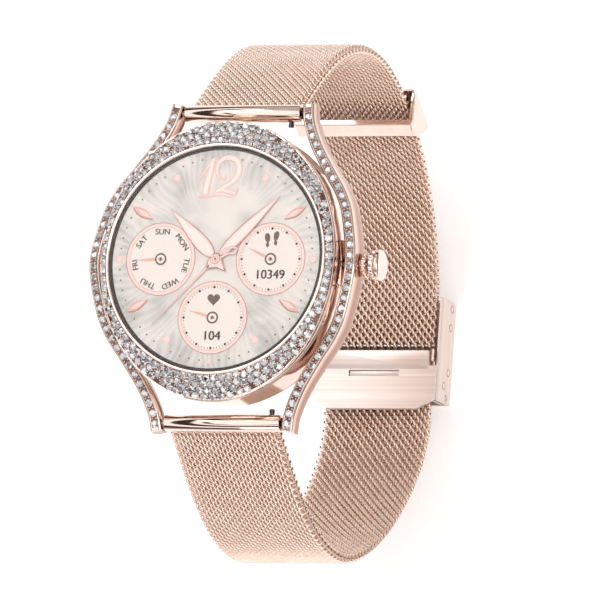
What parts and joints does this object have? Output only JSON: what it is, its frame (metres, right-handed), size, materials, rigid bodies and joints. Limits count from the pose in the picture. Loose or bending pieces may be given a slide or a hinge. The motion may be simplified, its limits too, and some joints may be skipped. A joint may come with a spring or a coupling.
{
  "type": "smartwatch",
  "caption": "Round smartwatch with a stone-set bezel and lug frames, a turning push crown and a wire mesh strap closed by a keeper loop and folding clasp.",
  "frame": {"origin": "on the dial's axis, at the flat outer face of the closed clasp, which the watch stands on", "axes": "+Z out of the dial, +Y to 12 o'clock along the strap, +X to the crown"},
  "size_m": [0.0463, 0.0776, 0.0738],
  "materials": {
    "polished_rose_gold": "polished",
    "rose_gold_mesh": "satin wire mesh",
    "brushed_pale_gold": "brushed",
    "clear_glass": "polished",
    "display_cream": "lit display",
    "black_rubber": "matte",
    "black_plastic": "gloss",
    "steel": "satin",
    "spring_steel": "satin",
    "gold_contact": "plated",
    "green_board": "solder mask",
    "battery_foil": "foil"
  },
  "bodies": {
    "case": {"display_glass": "clear_glass", "display_panel": "display_cream", "display_gasket": "black_rubber", "inner_chassis": "steel", "bezel_ring": "polished_rose_gold", "case_middle": "polished_rose_gold", "lug_frame_left": "polished_rose_gold", "lug_frame_right": "polished_rose_gold", "back_cover": "steel", "back_gasket": "black_rubber", "back_screw_1": "steel", "back_screw_2": "steel", "back_screw_3": "steel", "back_screw_4": "steel", "sensor_window": "black_plastic", "charging_contact_1": "gold_contact", "charging_contact_2": "gold_contact", "main_board": "green_board", "battery": "battery_foil", "sensor_board": "green_board", "motor_housing": "steel", "speaker": "black_plastic", "microphone": "steel", "switch_body": "black_plastic", "crown_sleeve": "polished_rose_gold", "crown_spring": "spring_steel"},
    "rotor": {"motor_rotor": "steel"},
    "plunger": {"switch_plunger": "steel"},
    "crown_slider": {"crown_washer": "steel", "crown_o_ring": "black_rubber"},
    "crown": {"crown_knob": "polished_rose_gold", "crown_encoder_wheel": "black_plastic"},
    "strap_top": {"strap_mesh_top": "rose_gold_mesh", "strap_tube_top": "polished_rose_gold", "spring_bar_top": "steel", "bar_spring_top": "spring_steel", "strap_end_bar": "polished_rose_gold"},
    "strap_bottom": {"strap_mesh_bottom": "rose_gold_mesh", "strap_tube_bottom": "polished_rose_gold", "spring_bar_bottom": "steel", "bar_spring_bottom": "spring_steel"},
    "release_top": {"release_pin_top": "steel"},
    "release_bottom": {"release_pin_bottom": "steel"},
    "keeper": {"keeper_loop": "polished_rose_gold"},
    "clasp": {"clasp_frame": "polished_rose_gold", "clasp_flap_pin": "steel", "clasp_cover_pin": "steel"},
    "flap": {"clasp_flap": "brushed_pale_gold"},
    "cover": {"clasp_cover": "brushed_pale_gold"}
  },
  "joints": [
    {"name": "crown_press", "type": "slide", "parent": "case", "child": "crown_slider", "axis": [-1, 0, 0], "range_m": [0, 0.0004], "stiffness_N_per_m": 1500, "springref_m": -0.0004, "deforming": ["crown_spring"]},
    {"name": "crown_turn", "type": "hinge", "parent": "crown_slider", "child": "crown", "pos_m": [0, 0, 0.0682], "axis": [1, 0, 0], "continuous": true},
    {"name": "switch_press", "type": "slide", "parent": "case", "child": "plunger", "axis": [-1, 0, 0], "range_m": [0, 0.0006]},
    {"name": "rotor_spin", "type": "hinge", "parent": "case", "child": "rotor", "pos_m": [-0.007, 0.0123, 0.0669], "axis": [1, 0, 0], "continuous": true},
    {"name": "strap_top_pivot", "type": "hinge", "parent": "case", "child": "strap_top", "pos_m": [0, 0.02315, 0.0658], "axis": [1, 0, 0], "range_deg": [0, 70]},
    {"name": "strap_bottom_pivot", "type": "hinge", "parent": "case", "child": "strap_bottom", "pos_m": [0, -0.02315, 0.0658], "axis": [-1, 0, 0], "range_deg": [0, 70]},
    {"name": "quick_release_top", "type": "slide", "parent": "strap_top", "child": "release_top", "axis": [-1, 0, 0], "range_m": [0, 0.0012], "stiffness_N_per_m": 400, "springref_m": -0.001, "deforming": ["bar_spring_top"]},
    {"name": "quick_release_bottom", "type": "slide", "parent": "strap_bottom", "child": "release_bottom", "axis": [-1, 0, 0], "range_m": [0, 0.0012], "stiffness_N_per_m": 400, "springref_m": -0.001, "deforming": ["bar_spring_bottom"]},
    {"name": "keeper_slide", "type": "slide", "parent": "strap_top", "child": "keeper", "axis": [0, -0.6, -0.8], "range_m": [-0.003, 0.003]},
    {"name": "clasp_adjust", "type": "slide", "parent": "strap_bottom", "child": "clasp", "axis": [0, -1, 0], "range_m": [0, 0.003]},
    {"name": "clasp_flap_hinge", "type": "hinge", "parent": "clasp", "child": "flap", "pos_m": [0, -0.0022, 0.006], "axis": [-1, 0, 0], "range_deg": [0, 60]},
    {"name": "clasp_cover_hinge", "type": "hinge", "parent": "clasp", "child": "cover", "pos_m": [0, -0.008, 0.0022], "axis": [-1, 0, 0], "range_deg": [0, 90]}
  ],
  "couplings": [
    {"joint": "switch_press", "follows": "crown_press", "ratio": 1}
  ]
}
